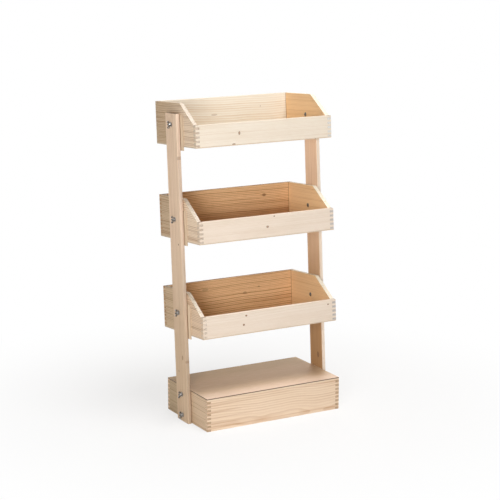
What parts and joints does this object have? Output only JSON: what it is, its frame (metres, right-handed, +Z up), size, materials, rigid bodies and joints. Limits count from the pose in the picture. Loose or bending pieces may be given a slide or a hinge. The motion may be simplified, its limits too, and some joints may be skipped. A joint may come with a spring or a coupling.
{
  "type": "dump bin display stand",
  "caption": "Free-standing pine display stand: open slope-sided trays hung between leaning posts above a finger-jointed plinth, each tilting on coach bolts clamped by wing nuts.",
  "frame": {"origin": "on the floor, at the middle of the stand's overall width and depth", "axes": "+Z up, +X to the right of someone facing the front, +Y to the rear"},
  "size_m": [0.6712, 0.4187, 1.2492],
  "materials": {
    "board_pine": "planed pine board, clear matt finish, finger-jointed corners with end grain showing",
    "post_pine": "planed pine post, clear matt finish, eased edges",
    "plywood": "thin birch-faced plywood, clear matt finish, darker layered edge",
    "zinc_steel": "zinc-plated steel, dull bright"
  },
  "bodies": {
    "stand": {"base_back": "board_pine", "base_bolts": "zinc_steel", "base_front": "board_pine", "base_left_side": "board_pine", "base_left_spacer": "plywood", "base_lid": "plywood", "base_right_side": "board_pine", "base_right_spacer": "plywood", "left_post": "post_pine", "right_post": "post_pine"},
    "lower_tray": {"lower_tray_back": "board_pine", "lower_tray_bolts": "zinc_steel", "lower_tray_bottom": "plywood", "lower_tray_front": "board_pine", "lower_tray_left_side": "board_pine", "lower_tray_left_spacer": "plywood", "lower_tray_right_side": "board_pine", "lower_tray_right_spacer": "plywood"},
    "middle_tray": {"middle_tray_back": "board_pine", "middle_tray_bolts": "zinc_steel", "middle_tray_bottom": "plywood", "middle_tray_front": "board_pine", "middle_tray_left_side": "board_pine", "middle_tray_left_spacer": "plywood", "middle_tray_right_side": "board_pine", "middle_tray_right_spacer": "plywood"},
    "top_tray": {"top_tray_back": "board_pine", "top_tray_bolts": "zinc_steel", "top_tray_bottom": "plywood", "top_tray_front": "board_pine", "top_tray_left_side": "board_pine", "top_tray_left_spacer": "plywood", "top_tray_right_side": "board_pine", "top_tray_right_spacer": "plywood"},
    "base_left_lower_wing_nut": {"base_left_lower_wing_nut": "zinc_steel"},
    "base_left_upper_wing_nut": {"base_left_upper_wing_nut": "zinc_steel"},
    "base_right_lower_wing_nut": {"base_right_lower_wing_nut": "zinc_steel"},
    "base_right_upper_wing_nut": {"base_right_upper_wing_nut": "zinc_steel"},
    "lower_tray_left_wing_nut": {"lower_tray_left_wing_nut": "zinc_steel"},
    "lower_tray_right_wing_nut": {"lower_tray_right_wing_nut": "zinc_steel"},
    "middle_tray_left_wing_nut": {"middle_tray_left_wing_nut": "zinc_steel"},
    "middle_tray_right_wing_nut": {"middle_tray_right_wing_nut": "zinc_steel"},
    "top_tray_left_wing_nut": {"top_tray_left_wing_nut": "zinc_steel"},
    "top_tray_right_wing_nut": {"top_tray_right_wing_nut": "zinc_steel"}
  },
  "joints": [
    {"name": "lower_tray_tilt", "type": "hinge", "parent": "stand", "child": "lower_tray", "pos_m": [0, -0.01208, 0.4333], "axis": [1, 0, 0], "range_deg": [-15, 30]},
    {"name": "middle_tray_tilt", "type": "hinge", "parent": "stand", "child": "middle_tray", "pos_m": [0, 0.01349, 0.7989], "axis": [1, 0, 0], "range_deg": [-15, 30]},
    {"name": "top_tray_tilt", "type": "hinge", "parent": "stand", "child": "top_tray", "pos_m": [0, 0.03906, 1.16451], "axis": [1, 0, 0], "range_deg": [-15, 30]},
    {"name": "base_left_lower_wing_nut_turn", "type": "hinge", "parent": "stand", "child": "base_left_lower_wing_nut", "pos_m": [-0.3206, -0.04057, 0.02579], "axis": [-1, 0, 0], "range_deg": [0, 720]},
    {"name": "base_left_upper_wing_nut_turn", "type": "hinge", "parent": "stand", "child": "base_left_upper_wing_nut", "pos_m": [-0.3206, -0.03485, 0.10759], "axis": [-1, 0, 0], "range_deg": [0, 720]},
    {"name": "base_right_lower_wing_nut_turn", "type": "hinge", "parent": "stand", "child": "base_right_lower_wing_nut", "pos_m": [0.3206, -0.04057, 0.02579], "axis": [1, 0, 0], "range_deg": [0, 720]},
    {"name": "base_right_upper_wing_nut_turn", "type": "hinge", "parent": "stand", "child": "base_right_upper_wing_nut", "pos_m": [0.3206, -0.03485, 0.10759], "axis": [1, 0, 0], "range_deg": [0, 720]},
    {"name": "lower_tray_left_wing_nut_turn", "type": "hinge", "parent": "lower_tray", "child": "lower_tray_left_wing_nut", "pos_m": [-0.3206, -0.01208, 0.4333], "axis": [-1, 0, 0], "range_deg": [0, 720]},
    {"name": "lower_tray_right_wing_nut_turn", "type": "hinge", "parent": "lower_tray", "child": "lower_tray_right_wing_nut", "pos_m": [0.3206, -0.01208, 0.4333], "axis": [1, 0, 0], "range_deg": [0, 720]},
    {"name": "middle_tray_left_wing_nut_turn", "type": "hinge", "parent": "middle_tray", "child": "middle_tray_left_wing_nut", "pos_m": [-0.3206, 0.01349, 0.7989], "axis": [-1, 0, 0], "range_deg": [0, 720]},
    {"name": "middle_tray_right_wing_nut_turn", "type": "hinge", "parent": "middle_tray", "child": "middle_tray_right_wing_nut", "pos_m": [0.3206, 0.01349, 0.7989], "axis": [1, 0, 0], "range_deg": [0, 720]},
    {"name": "top_tray_left_wing_nut_turn", "type": "hinge", "parent": "top_tray", "child": "top_tray_left_wing_nut", "pos_m": [-0.3206, 0.03906, 1.16451], "axis": [-1, 0, 0], "range_deg": [0, 720]},
    {"name": "top_tray_right_wing_nut_turn", "type": "hinge", "parent": "top_tray", "child": "top_tray_right_wing_nut", "pos_m": [0.3206, 0.03906, 1.16451], "axis": [1, 0, 0], "range_deg": [0, 720]}
  ]
}
